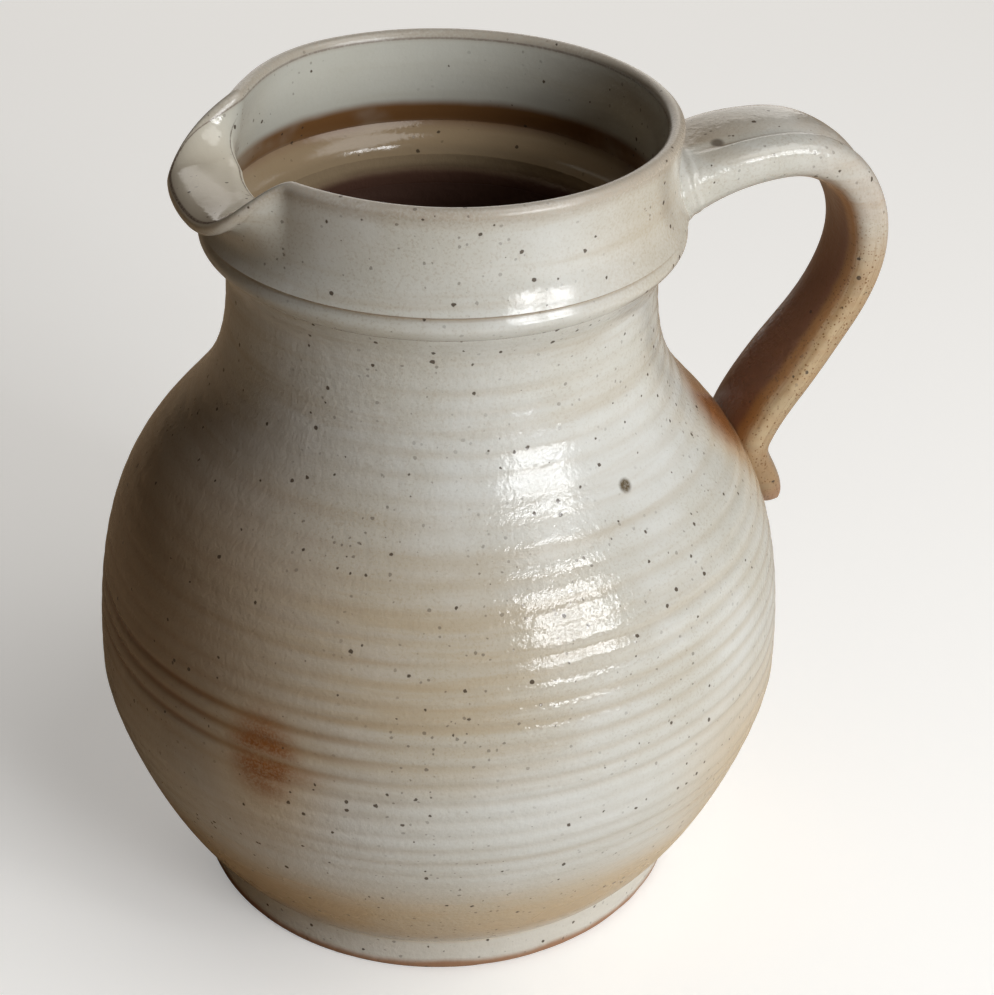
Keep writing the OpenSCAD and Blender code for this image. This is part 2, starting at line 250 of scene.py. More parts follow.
def makeBody(s):
    count = int((s["mouthZ"] - s["baseZ"]) / s["step"])
    heights = [mix(s["baseZ"], s["mouthZ"], t) for t in steps(count)]
    outside = [(skinR(z), z) for z in heights]
    inside = innerWall(s)
    corner, bendR, plugR = inside[-1][0], s["floorRound"], s["plugR"]
    bend = [
        (corner - bendR * (1 - cos(a)), s["floorZ"] + bendR * (1 - sin(a)))
        for a in quarterTurn(s["bendRows"])
    ]
    under = [(r, s["underZ"]) for r in (0, plugR / 2, plugR)] + [(plugR, s["baseZ"])]
    floor = [(corner * k, s["floorZ"]) for k in s["floorRings"]]
    profile = under + outside + [(s["ledgeR"], s["mouthZ"])] + inside + bend + floor
    piece = lathe("body_wall", profile, s["turns"])
    # the rows that meet the foot and the collar stay round
    first, last = len(under) + s["heldRows"], len(under) + len(outside) - 1
    rowOf = [d.value for d in piece.data.attributes["row"].data]
    groove, within = [], []
    for v in piece.data.vertices:
        row = rowOf[v.index]
        deep = 0.0
        if first <= row < last:
            z, turn = v.co.z / mm, atan2(v.co.y, v.co.x)
            cut, deep = ringAt(s, z, turn)
            soft = (1 + noise.noise(v.co / (s["wobbleSize"] * mm))) / 2
            hold = smooth(s["baseZ"], s["baseZ"] + s["wobbleEnd"], z)
            hold *= 1 - smooth(s["mouthZ"] - s["wobbleEnd"], s["mouthZ"], z)
            r = skinR(z) - cut - hold * s["wobble"] * soft
            v.co.x, v.co.y = r * mm * cos(turn), r * mm * sin(turn)
        groove.append(deep)
        within.append(1.0 if row > last else 0.0)
    paint(piece, dict(groove=groove, within=within))
    return piece


# Foot, a turned band, in mm
footForm = dict(
    topR=65.3, topZ=11.5, footR=64.8, width=10, plugR=53.8, plugZ=4, bevel=1.2, waist=0.3,
    bandRows=14, heelRows=5, ringRows=5, innerRows=4, turns=160,
    wear=0.25, wearTurn=9, wearZ=4, wornFrom=0.2, wornTo=11, wornAll=0.02,
)


def makeFoot(s):
    r, b, q, top = s["footR"], s["bevel"], s["plugR"], s["topZ"]
    inR = r - s["width"]
    band = [
        (mix(s["topR"], r, t) - s["waist"] * sin(pi * t), mix(top, b, t)) for t in steps(s["bandRows"])
    ]
    heel = [(r - b * (1 - cos(a)), b * (1 - sin(a))) for a in quarterTurn(s["heelRows"])]
    ring = [(mix(r - b, inR, t), 0) for t in steps(s["ringRows"], 1)]
    inner = [(mix(inR, q, sin(a)), b * (1 - cos(a))) for a in quarterTurn(s["innerRows"])]
    seat = [(q, s["plugZ"]), (q, top), ((q + s["topR"]) / 2, top), (s["topR"], top)]
    piece = lathe("foot_band", band + heel + ring + inner + seat, s["turns"])
    for v in piece.data.vertices:  # worn a little unevenly by the table and the knife
        z, turn = v.co.z / mm, atan2(v.co.y, v.co.x)
        if s["wornFrom"] < z < s["wornTo"] and hypot(v.co.x, v.co.y) / mm > r - b:
            place = Vector((cos(turn) * s["wearTurn"], sin(turn) * s["wearTurn"], z / s["wearZ"]))
            k = 1 + (min(0, s["wear"] * noise.noise(place)) - s["wornAll"]) / r
            v.co.x *= k
            v.co.y *= k
    return piece


# Collar and pouring lip, one thrown wall, in mm; the lip's spans are degrees from its middle
collarForm = dict(
    footR=56.0, footZ=178.8, ridgeR=58.5, ridgeH=5.9, grooveIn=0.9, grooveRise=((0, 0.3), (0.62, 0.72)),
    seatZ=185.9, seatR=58.6, seatT=5.9,
    rim=(54.5, 208.1), rimT=3.8, rimLean=7, collarLean=28, throatLean=18, footShare=0.32, rimShare=0.36,
    throat=[(52.7, 185.9), (51.5, 184.7), (49.7, 183.3), (48.1, 181.3), (47.3, 178.8)],
    lipTurn=186, lipHalf=24, lipBlend=10, foldEnd=31, foldPowers=(4, 2.3), lipSpan=78,
    lipReach=8.8, lipDroop=13.7, lipSlope=42, lipT=3.5, pinch=4, foldPinch=1.2, swell=1.4,
    sill=(47.4, 195.6), sillRound=2.7, sillAt=0.42, throatRun=3.2, tongueRun=6.5,
    hollowIn=4, hollowRun=5.5, browRun=3.8, settle=0.35,
    creaseAt=0.5, creaseRise=0.36, creaseDeep=0.3, creaseWide=0.013, creaseFrom=(0.02, 0.3), creaseTo=(4, 15),
    turns=432, ridgeRows=14, rows=60, capRows=12, throatRows=14,
    wobble=0.2, wobbleSize=30, wobbleIn=0.5, wobbleFrom=(0, 0.3),
    grooveTones=(0.55, 1.0, 1.0), capInside=(0.45, 0.85), rimCourse=0.3, sweepUnit=100,
)


def lipPull(s, a):
    if a > 0:  # the near side is folded more steeply
        bend, fold = s["foldPowers"]
        return max(0.0, 1 - (a / s["foldEnd"]) ** bend) ** fold
    return 1 - smooth(s["lipHalf"] - s["lipBlend"], s["lipHalf"] + s["lipBlend"], -a)


def sideOf(way):
    return Vector((way.y, -way.x))


def plainWall(s, side):  # outside for 1, inside for -1
    lean, rimLean = radians(s["collarLean"] if side > 0 else s["throatLean"]), radians(s["rimLean"])
    seat = Vector((s["seatR"] if side > 0 else s["seatR"] - s["seatT"], s["seatZ"]))
    rim, way = Vector(s["rim"]), Vector((sin(rimLean), cos(rimLean)))
    tall = rim.y - s["seatZ"]
    end = rim + side * s["rimT"] / 2 * sideOf(way)
    return curve(seat, seat + s["footShare"] * tall * Vector((-sin(lean), cos(lean))),
                 end - s["rimShare"] * tall * way, end)


def collarWall(s):
    rim, slope, rimLean = Vector(s["rim"]), radians(s["lipSlope"]), radians(s["rimLean"])
    lipWay, rimWay = Vector((cos(slope), -sin(slope))), Vector((sin(rimLean), cos(rimLean)))
    lip = rim + Vector((s["lipReach"], -s["lipDroop"]))
    plain = {side: plainWall(s, side) for side in (1, -1)}
    ends = {side: lip + side * s["lipT"] / 2 * sideOf(lipWay) for side in (1, -1)}
    sill, lean, run = Vector(s["sill"]), radians(s["throatLean"]), s["throatRun"]
    seat, start = plain[-1](0), plain[1](0)
    throat = curve(seat, seat + run * Vector((-sin(lean), cos(lean))), sill - Vector((0, run)), sill)
    tongue = curve(sill, sill + Vector((0, s["sillRound"])), ends[-1] - s["tongueRun"] * lipWay, ends[-1])
    hollow = curve(start, start + Vector((-s["hollowIn"], s["hollowRun"])),
                   ends[1] - s["browRun"] * lipWay, ends[1])
    k = s["sillAt"]

    def edge(a):
        pull = lipPull(s, a)
        pinch = s["pinch"] if a < 0 else s["foldPinch"]
        pinch *= (1 - pull) * (1 - smooth(s["lipHalf"] + s["lipBlend"], s["lipSpan"], abs(a)))
        swell = 4 * s["swell"] * pull * (1 - pull)  # full where the lip is half pulled
        shift = Vector((swell * cos(slope) - pinch, swell * sin(slope)))
        way = mix(rimWay, lipWay, pull).normalized()
        return pull, shift, mix(rim, lip, pull) + shift, way, mix(s["rimT"], s["lipT"], pull) / 2

    def wall(t, a, side):
        pull, shift, mid, way, half = edge(a)
        pulled = hollow(t) if side > 0 else throat(t / k) if t < k else tongue((t - k) / (1 - k))
        end = mix(plain[side](1), ends[side], pull) + shift
        want = mid + side * half * sideOf(way)
        low = Vector((0, 0))
        if side < 0:  # the tongue's inner edge, a crease that rises to the rim on the far side
            line = s["creaseAt"] + s["creaseRise"] * (1 - pull) ** 2
            force = smooth(*s["creaseFrom"], pull) * (1 - smooth(*s["creaseTo"], a))
            low.y = s["creaseDeep"] * force * exp(-((t - line) / s["creaseWide"]) ** 2)
        moved = t * t * shift + smooth(s["settle"], 1, t) * (want - end) - low
        return mix(plain[side](t), pulled, pull) + moved

    def cap(t, a):
        mid, way, half = edge(a)[2:]
        return mid + half * (sin(pi * t) * way + cos(pi * t) * sideOf(way))

    return dict(outer=lambda t, a: wall(t, a, 1), cap=cap, inner=lambda t, a: wall(t, a, -1))


def makeCollar(s):
    sides = collarWall(s)
    grooveR = s["ridgeR"] - s["grooveIn"]
    swell = s["ridgeR"] - (s["footR"] + grooveR) / 2
    ridge = [
        (mix(s["footR"], grooveR, t) + swell * sin(pi * t), s["footZ"] + s["ridgeH"] * t)
        for t in steps(s["ridgeRows"])
    ]
    ridgeEndR, ridgeEndZ = ridge[-1]
    gap = s["seatZ"] - ridgeEndZ
    groove = [(mix(ridgeEndR, s["seatR"], out), ridgeEndZ + gap * up) for out, up in s["grooveRise"]]
    ways = [("outer", t) for t in steps(s["rows"])]
    ways += [("cap", t) for t in steps(s["capRows"], 1, s["capRows"] - 1)]
    ways += [("inner", t) for t in reversed(steps(s["rows"]))]
    throat = through(s["throat"])
    # the profile is drawn opposite the lip, where the collar is plain
    profile = ridge + groove + [tuple(sides[kind](t, 180)) for kind, t in ways]
    profile += [tuple(throat(t)) for t in steps(s["throatRows"], 1)] + [ridge[0]]
    piece = lathe("collar_and_lip", profile, s["turns"])
    start, tones = len(ridge) + len(groove), s["grooveTones"]
    rowOf = [d.value for d in piece.data.attributes["row"].data]
    layers = {name: [] for name in ("course", "within", "groove", "lip", "sweep")}
    for v in piece.data.vertices:
        row = rowOf[v.index] - start
        turn = atan2(v.co.y, v.co.x)
        a = (degrees(turn) - s["lipTurn"] + 180) % 360 - 180
        inThroat = row >= len(ways)
        # course runs up the inside from 0 to 1, then over the rim, then by 1 more down the outside
        within, dark, course = float(inThroat), 0.0, 0.0 if inThroat else 2 + s["rimCourse"]
        if 0 <= row < len(ways):
            kind, t = ways[row]
            p = sides[kind](t, a)
            soft = noise.noise(v.co / (s["wobbleSize"] * mm)) - s["wobbleIn"]
            r = (p.x + s["wobble"] * soft * smooth(*s["wobbleFrom"], t)) * mm
            v.co = Vector((r * cos(turn), r * sin(turn), p.y * mm))
            if kind == "inner":
                within, course = 1.0, t
            elif kind == "cap":
                within, course = smooth(*s["capInside"], t), 1 + s["rimCourse"] * (1 - t)
            else:
                course -= t
        elif -len(tones) <= row < 0:
            dark = tones[row]
        layers["course"].append(course)
        layers["within"].append(within)
        layers["groove"].append(dark)
        layers["lip"].append(lipPull(s, a) if row >= 0 else 0.0)
        layers["sweep"].append(a / s["sweepUnit"])
    paint(piece, layers)
    return piece


# Handle, one pulled strap: worked on to the collar above and pressed on to the belly below, in mm
handleForm = dict(
    root=(54.3, 187.3), crest=(82.8, 194.5), far=(108.7, 167.8), elbowZ=116, tailZ=96, rise=15.7, reach=24.2,
    rootLean=24, elbowLean=22, tailLean=20, rootShare=0.6, quarter=0.57, fall=0.37, tailShare=0.38,
    width=30, midWidth=24, endWidth=27.5, tailWidth=25, tipIn=5, thick=11.4, tailThick=9, press=0.6,
    power=3.6, underPower=2.6, bed=1.2, drop=3,
    # where along the strap: 0 at the root, 1 the crest, 2 the far side, 3 the elbow and 4 the tail's end
    narrowAt=(0.6, 2), widenAt=(2.35, 2.74), tailAt=(3.2, 4), tipAt=(3.55, 4.02), thinAt=(1.6, 3.1),
    bluntFrom=3.4, bluntRun=0.605, bluntLeast=0.002, bedAt=(2.6, 3.1), dropTo=(0, 1.7),
    groove=1.9, grooveAt=-0.45, grooveNear=0.07, grooveFar=0.34, grooveUp=(0, 0.6),
    grooveFrom=(0.3, 0.75), grooveTo=(2.35, 3.1), creaseOff=0.02, creaseWide=0.06, creaseUp=(0.2, 0.6),
    filletLong=8, filletDeep=3.6, filletUp=0.5, filletDown=0.3, underIn=0.6, underFrom=(0.1, 0.9),
    strokes=0.28, strokeGap=2.7, strokeFrom=(0.25, 0.6), strokeTo=(0.9, 1),
    lowest=182.3, give=0.08, bedIn=2.2, runs=4, sides=120, rows=240, slopeStep=0.001, collarSteps=80,
    wobble=0.22, wobbleSize=22, wobbleFrom=(0.2, 0.6),
    # where the glaze changes: up and across the strap, and its bare tip
    underUp=(-0.6, 0.1), underAcross=(-1.02, -0.35), overUp=(0.0, 0.75),
    farAcross=(-0.32, -0.15), farUp=(0.1, 0.5), bareFrom=(3.66, 3.95),
)


def handleLine(s):
    root, crest, far = Vector(s["root"]), Vector(s["crest"]), Vector(s["far"])
    out = s["tailThick"] / 2 - s["press"]
    elbow = Vector((skinR(s["elbowZ"]) + out, s["elbowZ"]))
    tail = Vector((skinR(s["tailZ"]) + out, s["tailZ"]))
    a, b, c = radians(s["rootLean"]), radians(s["elbowLean"]), radians(s["tailLean"])
    rootWay, elbowWay, tailWay = Vector((cos(a), sin(a))), Vector((sin(b), cos(b))), Vector((-sin(c), cos(c)))
    q, over, drop = s["quarter"], far.x - crest.x, crest.y - far.y
    fall, tailL = s["fall"] * (far.y - elbow.y), s["tailShare"] * (elbow.y - tail.y)
    runs = [
        curve(root, root + s["rootShare"] * s["rise"] * rootWay, crest - Vector((q * s["reach"], 0)), crest),
        curve(crest, crest + Vector((q * over, 0)), far + Vector((0, q * drop)), far),
        curve(far, far - Vector((0, fall)), elbow + fall * elbowWay, elbow),
        curve(elbow, elbow - tailL * elbowWay, tail + tailL * tailWay, tail),
    ]
    h = s["slopeStep"]

    def at(u):
        i = min(s["runs"] - 1, int(u))
        return runs[i](u - i)

    def way(u):
        i = min(s["runs"] - 1, int(u))
        t = min(1 - h, max(h, u - i))
        return (runs[i](t + h) - runs[i](t - h)).normalized()
    return at, way


collarLine = [plainWall(collarForm, 1)(t) for t in steps(handleForm["collarSteps"])]


def strapPoint(s, u, a):  # a point of the strap's section, and how deep in the crease it lies
    across, top = cos(a), sin(a) >= 0
    power = s["power"] if top else s["underPower"]
    up = (1 if top else -1) * max(0.0, 1 - abs(across) ** power) ** (1 / power)
    tip = 1 - sqrt(max(0.0, 1 - smooth(*s["tipAt"], u) ** 2))
    w = mix(s["width"], s["midWidth"], smooth(*s["narrowAt"], u))
    w += (s["endWidth"] - s["midWidth"]) * smooth(*s["widenAt"], u)
    w += (s["tailWidth"] - s["endWidth"]) * smooth(*s["tailAt"], u) - s["tipIn"] * tip
    half = mix(s["thick"], s["tailThick"], smooth(*s["thinAt"], u)) / 2
    cut = smooth(*s["grooveFrom"], u) * (1 - smooth(*s["grooveTo"], u))
    x = across - s["grooveAt"]
    if up > 0:
        blunt = sqrt(max(s["bluntLeast"], 1 - (max(0, u - s["bluntFrom"]) / s["bluntRun"]) ** 2))
        dent = exp(-(x / (s["grooveNear"] if x < 0 else s["grooveFar"])) ** 2)
        lift = up * half * blunt - s["groove"] * cut * dent * smooth(*s["grooveUp"], up)
    else:
        lift = up * (half + s["bed"] * smooth(*s["bedAt"], u) + s["drop"] * (1 - smooth(*s["dropTo"], u)))
    dark = cut * exp(-((x - s["creaseOff"]) / s["creaseWide"]) ** 2) * smooth(*s["creaseUp"], up)
    return across, up, across * w / 2, lift, dark


def workOn(s, p, off, across, up, side, lift):  # clay smoothed out from the strap on to the collar
    q = p + lift * off
    gap = hypot(q.x, side) - lookUp(collarLine, q.y)
    t = min(1, max(0, 1 - gap / s["filletLong"]))
    spread = s["filletDeep"] * (1 - sqrt(1 - t * t))
    stroke = smooth(*s["strokeFrom"], t) * (1 - smooth(*s["strokeTo"], t))
    spread += s["strokes"] * sin(2 * pi * gap / s["strokeGap"]) * stroke
    spread /= hypot(across, up)
    side += across * spread * (1 - s["underIn"] * smooth(*s["underFrom"], -up))
    q = p + (lift + up * spread * (s["filletUp"] if up > 0 else s["filletDown"])) * off
    q.y = max(q.y, s["lowest"] + s["give"] * min(0, q.y - s["lowest"]))
    # the end stays bedded inside the collar's wall
    deep = lookUp(collarLine, q.y) - s["bedIn"]
    r = hypot(q.x, side)
    if r < deep:
        q.x, side = q.x * deep / r, side * deep / r
    return q, side


def makeHandle(s):
    at, way = handleLine(s)
    us = [s["runs"] * t for t in steps(s["rows"])]
    deselect()
    bpy.ops.mesh.primitive_circle_add(vertices=s["sides"], radius=mm, fill_type="NGON")
    piece = bpy.context.object
    piece.name = piece.data.name = "pulled_handle"
    editAll()
    for row in range(s["rows"]):
        bpy.ops.mesh.extrude_region_move(TRANSFORM_OT_translate={"value": (0, 0, mm)})
    bpy.ops.object.mode_set(mode="OBJECT")
    layers = {name: [] for name in ("along", "under", "over", "bare", "crease", "far")}
    for v in piece.data.vertices:
        u = us[min(s["rows"], round(v.co.z / mm))]
        p, d = at(u), way(u)
        off = Vector((-d.y, d.x))
        across, up, side, lift, dark = strapPoint(s, u, atan2(v.co.y, v.co.x))
        q = p + lift * off
        if u < 1:
            q, side = workOn(s, p, off, across, up, side, lift)
        soft = noise.noise(Vector((q.x, side, q.y)) / s["wobbleSize"])
        q -= abs(s["wobble"] * soft * smooth(*s["wobbleFrom"], u)) * off * up
        v.co = Vector((q.x, side, q.y)) * mm
        layers["along"].append(u / s["runs"])
        layers["under"].append((1 - smooth(*s["underUp"], up)) * smooth(*s["underAcross"], across))
        layers["over"].append(smooth(*s["overUp"], up))
        layers["bare"].append(smooth(*s["bareFrom"], u))
        layers["crease"].append(dark)
        layers["far"].append(smooth(*s["farAcross"], across) * smooth(*s["farUp"], up))
    editAll()
    bpy.ops.mesh.normals_make_consistent(inside=False)
    bpy.ops.object.mode_set(mode="OBJECT")
    paint(piece, layers)
    return piece


# Node helpers
def addNode(tree, kind, **settings):
    node = tree.nodes.new(kind)
    for key, value in settings.items():
        setattr(node, key, value)
    return node


def feed(tree, socket, value):
    if isinstance(value, bpy.types.NodeSocket):
        tree.links.new(value, socket)
    elif value is not None:
        socket.default_value = value


def fill(tree, node, **values):
    for name, value in values.items():
        feed(tree, node.inputs[name], value)
    return node.outputs


def calc(tree, operation, *values, clamp=False):
    node = addNode(tree, "ShaderNodeMath", operation=operation, use_clamp=clamp)
    for socket, value in zip(node.inputs, values):
        feed(tree, socket, value)
    return node.outputs[0]


def vectorCalc(tree, operation, *values):
    node = addNode(tree, "ShaderNodeVectorMath", operation=operation)
    for socket, value in zip(node.inputs, values):
        feed(tree, socket, value)
    return node.outputs["Value" if operation in ("DISTANCE", "DOT_PRODUCT", "LENGTH") else "Vector"]


def times(tree, product, *others):
    for value in others:
        product = calc(tree, "MULTIPLY", product, value)
    return product


def plus(tree, base, value, share):  # base and a share of a value
    return calc(tree, "MULTIPLY_ADD", value, share, base)


def ramp(tree, value, low, high, a=0.0, b=1.0):
    node = addNode(tree, "ShaderNodeMapRange", interpolation_type="SMOOTHSTEP")
    for socket, v in zip(node.inputs, (value, low, high, a, b)):
        feed(tree, socket, v)
    return node.outputs[0]


def between(tree, value, rise, fall):
    return times(tree, ramp(tree, value, *rise), ramp(tree, value, *fall))


def tint(tree, amount, a, b):  # sockets 6, 7 and 2 of a mix node are its colours
    node = addNode(tree, "ShaderNodeMix", data_type="RGBA")
    feed(tree, node.inputs[0], amount)
    feed(tree, node.inputs[6], a if isinstance(a, bpy.types.NodeSocket) else (*a, 1))
    feed(tree, node.inputs[7], b if isinstance(b, bpy.types.NodeSocket) else (*b, 1))
    return node.outputs[2]


def mapped(tree, vector, scale=(1, 1, 1), place=(0, 0, 0)):
    node = addNode(tree, "ShaderNodeMapping")
    return fill(tree, node, Vector=vector, Scale=scale, Location=place)[0]


def cloud(tree, vector, scale, detail=3.0, rough=0.55):
    node = addNode(tree, "ShaderNodeTexNoise")
    return fill(tree, node, Vector=vector, Scale=scale, Detail=detail, Roughness=rough)["Fac"]


def newGroup(name, inputs, outputs):
    tree = bpy.data.node_groups.new(name, "ShaderNodeTree")
    tree.interface.new_socket("Vector", in_out="INPUT", socket_type="NodeSocketVector")
    for label, value in inputs.items():
        socket = tree.interface.new_socket(label, in_out="INPUT", socket_type="NodeSocketFloat")
        socket.default_value = value
    for label in outputs:
        tree.interface.new_socket(label, in_out="OUTPUT", socket_type="NodeSocketFloat")
    return tree, addNode(tree, "NodeGroupInput").outputs, addNode(tree, "NodeGroupOutput").inputs


# Iron specks: a few cells of a scattered pattern hold a speck, each of its own size
speckLook = dict(
    bendScale=900, bend=0.7, dust=(0.65, 0.35, 0.15, 0.6), tone=0.9,
    fine=dict(cells=560.0, share=0.6, size=0.3, edge=14.0, shift=(0, 0, 0)),
    mid=dict(cells=330.0, share=0.7, size=0.22, edge=20.0, shift=(0.3, 0.1, 0.7)),
    big=dict(cells=70.0, share=0.16, size=0.075, edge=60.0, shift=(0.9, 0.4, 0.2)),
)


def makeSpecks(s):
    inputs = dict(Cells=200.0, Few=0.6, Size=0.2, Edge=12.0)
    tree, given, out = newGroup("iron_specks", inputs, ["Speck"])
    place = given["Vector"]
    bent = fill(tree, addNode(tree, "ShaderNodeTexNoise"), Vector=place, Scale=s["bendScale"])["Color"]
    place = vectorCalc(tree, "MULTIPLY_ADD", bent, [s["bend"] * mm] * 3, place)
    cells = fill(tree, addNode(tree, "ShaderNodeTexVoronoi"), Vector=place, Scale=given["Cells"])
    luck = fill(tree, addNode(tree, "ShaderNodeSeparateColor"), Color=cells["Color"])["Red"]
    spare = calc(tree, "SUBTRACT", luck, given["Few"])
    room = calc(tree, "SUBTRACT", 1.0, given["Few"])
    size = times(tree, calc(tree, "DIVIDE", spare, room), given["Size"])
    depth = calc(tree, "SUBTRACT", size, cells["Distance"])
    feed(tree, out["Speck"], calc(tree, "MULTIPLY", depth, given["Edge"], clamp=True))
    return tree


# Drift of the glaze: broad clouds, streaks that run round the pot along the rings, and fine grain
driftLook = dict(
    cloud=(24, 4), streakStretch=(16, 16, 230), streak=(1, 3, 0.6), grain=(1500, 2, 0.6),
    skin=(230, 3, 0.5), pits=(760, 2, 0.6), skinDeep=0.6, streakDeep=0.4, pitsDeep=0.42,
)


def makeDrift(s):
    tree, given, out = newGroup("glaze_drift", {}, ["Cloud", "Streak", "Grain", "Skin"])
    place = given["Vector"]
    streak = cloud(tree, mapped(tree, place, s["streakStretch"]), *s["streak"])
    feed(tree, out["Cloud"], cloud(tree, place, *s["cloud"]))
    feed(tree, out["Streak"], streak)
    feed(tree, out["Grain"], cloud(tree, place, *s["grain"]))
    height = plus(tree, times(tree, streak, s["streakDeep"]), cloud(tree, place, *s["skin"]), s["skinDeep"])
    feed(tree, out["Skin"], plus(tree, height, cloud(tree, place, *s["pits"]), s["pitsDeep"]))
    return tree


speckGroup = makeSpecks(speckLook)
driftGroup = makeDrift(driftLook)


def useGroup(tree, group, vector, **values):
    return fill(tree, addNode(tree, "ShaderNodeGroup", node_tree=group), Vector=vector, **values)


def spot(tree, vector, place, size, soft):  # a round stain about a place, in mm
    away = vectorCalc(tree, "DISTANCE", vector, [c * mm for c in place])
    return ramp(tree, away, size * mm, size * mm * (1 - soft))


def flank(tree, vector, turn, wide, full):  # the side of the pot that faces one way, in degrees
    outward = vectorCalc(tree, "NORMALIZE", vectorCalc(tree, "MULTIPLY", vector, (1, 1, 0)))
    facing = vectorCalc(tree, "DOT_PRODUCT", outward, (cos(radians(turn)), sin(radians(turn)), 0))
    return ramp(tree, facing, cos(radians(wide)), cos(radians(full)))


def attribute(tree, name):
    return addNode(tree, "ShaderNodeAttribute", attribute_name=name).outputs["Fac"]


def heightOf(tree, place):  # in mm
    split = fill(tree, addNode(tree, "ShaderNodeSeparateXYZ"), Vector=place)
    return calc(tree, "DIVIDE", split["Z"], mm)


# The glaze that all pieces share
glazeTones = dict(
    cream=(0.55, 0.537, 0.482), pale=(0.635, 0.637, 0.61), warm=(0.45, 0.385, 0.29), tan=(0.30, 0.205, 0.115),
    ochre=(0.52, 0.36, 0.175), rust=(0.24, 0.085, 0.022), brown=(0.19, 0.09, 0.033),
    iron=(0.065, 0.043, 0.028), edge=(0.40, 0.34, 0.27), cool=(0.515, 0.505, 0.435),
    clay=(0.36, 0.20, 0.115), deep=(0.085, 0.043, 0.03), inner=(0.23, 0.105, 0.06), ring=(0.33, 0.245, 0.15),
    honey=(0.50, 0.375, 0.205), orange=(0.36, 0.155, 0.042), hazeAndShade=(0.36, 0.30, 0.23),
    honeyed=(0.44, 0.335, 0.20), lipTone=(0.76, 0.69, 0.56), fleck=(0.11, 0.08, 0.045),
    footTone=(0.72, 0.70, 0.64),
)
glazeLook = dict(
    pale=(0.35, 0.66), streak=(0.48, 0.75), streakTone=0.45, sand=(0.5, 0.7),
    sandCloud=(0.7, 0.35, 0.06, 0.26), ior=1.52, bumpDeep=0.8, peel=0.36,
)


def wash(tree, colour, tone, *masks):  # a tone laid over a colour where all the masks are
    return tint(tree, times(tree, *masks), colour, glazeTones[tone])


def startGlaze(name):
    material = bpy.data.materials.new(name)
    material.use_nodes = True
    tree = material.node_tree
    place = addNode(tree, "ShaderNodeTexCoord").outputs["Object"]
    return material, tree, place, useGroup(tree, driftGroup, place)


def baseTone(tree, drift):  # cream glaze with paler clouds, warm streaks and a fine grain
    s, t = glazeLook, glazeTones
    colour = tint(tree, ramp(tree, drift["Cloud"], *s["pale"]), t["cream"], t["pale"])
    colour = wash(tree, colour, "warm", ramp(tree, drift["Streak"], *s["streak"]), s["streakTone"])
    patches = ramp(tree, drift["Cloud"], *s["sandCloud"])
    return wash(tree, colour, "tan", ramp(tree, drift["Grain"], *s["sand"]), patches)


def specked(tree, place, drift, colour, density):
    s, layers = speckLook, {}
    for name in ("fine", "mid", "big"):
        k = s[name]
        specks = useGroup(tree, speckGroup, mapped(tree, place, place=k["shift"]), Cells=k["cells"],
                          Few=1 - k["share"] * density, Size=k["size"], Edge=k["edge"])
        layers[name] = specks["Speck"]
    dust = times(tree, layers["fine"], ramp(tree, drift["Cloud"], *s["dust"]))
    mask = calc(tree, "MAXIMUM", calc(tree, "MAXIMUM", dust, layers["mid"]), layers["big"])
    return wash(tree, colour, "iron", mask, s["tone"])


def closeGlaze(tree, colour, drift, gloss, peel=glazeLook["peel"]):
    shader = tree.nodes["Principled BSDF"]
    bump = addNode(tree, "ShaderNodeBump")
    bumped = fill(tree, bump, Strength=peel, Distance=glazeLook["bumpDeep"] * mm, Height=drift["Skin"])
    fill(tree, shader, Roughness=gloss, IOR=glazeLook["ior"], Normal=bumped[0])
    feed(tree, shader.inputs["Base Color"], colour)


# Marks on the body: heights in mm, a flank as turn, half width and core, a spot as place, size and softness
bodyMarks = dict(
    groove=0.45, thick=0.45, thickRise=(30, 50), thickFall=(95, 62),
    toast=0.9, toastAndShadeGroove=0.8, toastAndShadeFlank=(-178, 78, 14), toastRise=(40, 90), toastAndShadeFall=(168, 115),
    toastAndShadeCloud=(0.2, 0.6, 0.6, 1.0), flush=0.68, flushSpot=((-30, -82, 162), 64, 0.9),
    flushStretch=(1, 1, 1.5), flushStreak=(0.35, 0.6, 0.55, 1.0),
    ragged=14, bandFall=(56, 36), bandFoot=(12, 22, 0.45, 1.0), bandCloud=(0.3, 0.6, 0.5, 0.8),
    side=0.75, sideFlank=(-24, 46, 12), sideFall=(96, 60),
    smear=0.5, smearSpot=((-60.1, -64.7, 58), 24, 0.95), rustSpot=((-60.1, -64.7, 64.2), 13, 0.7),
    rustStretch=(1, 1, 0.8), rustStreak=(0.3, 0.55, 0.5, 1.0), rustGrain=(0.35, 0.6, 0.7, 1.0),
    drawn=0.6, drawnSpot=((-43.5, -50, 171), 13, 0.9), drawnStretch=(0.75, 0.75, 2.2),
    halo=0.75, haloSpot=((80, -10, 122), 36, 0.85),
    scorch=0.95, scorchSpots=[((73, -10, 129), 24, 0.75), ((73, 10, 129), 24, 0.75)],
    specks=0.8, fleckSpot=((30.1, -55.7, 136.2), 2.4, 0.5), fleckGrain=(0.3, 0.6, 0.75, 1.0),
    throatRagged=3, throatRise=(174.8, 178.8),
    gloss=(0.3, 0.7, 0.10, 0.20), bandGloss=0.14, throatGloss=0.3, throatDull=(173, 169),
)


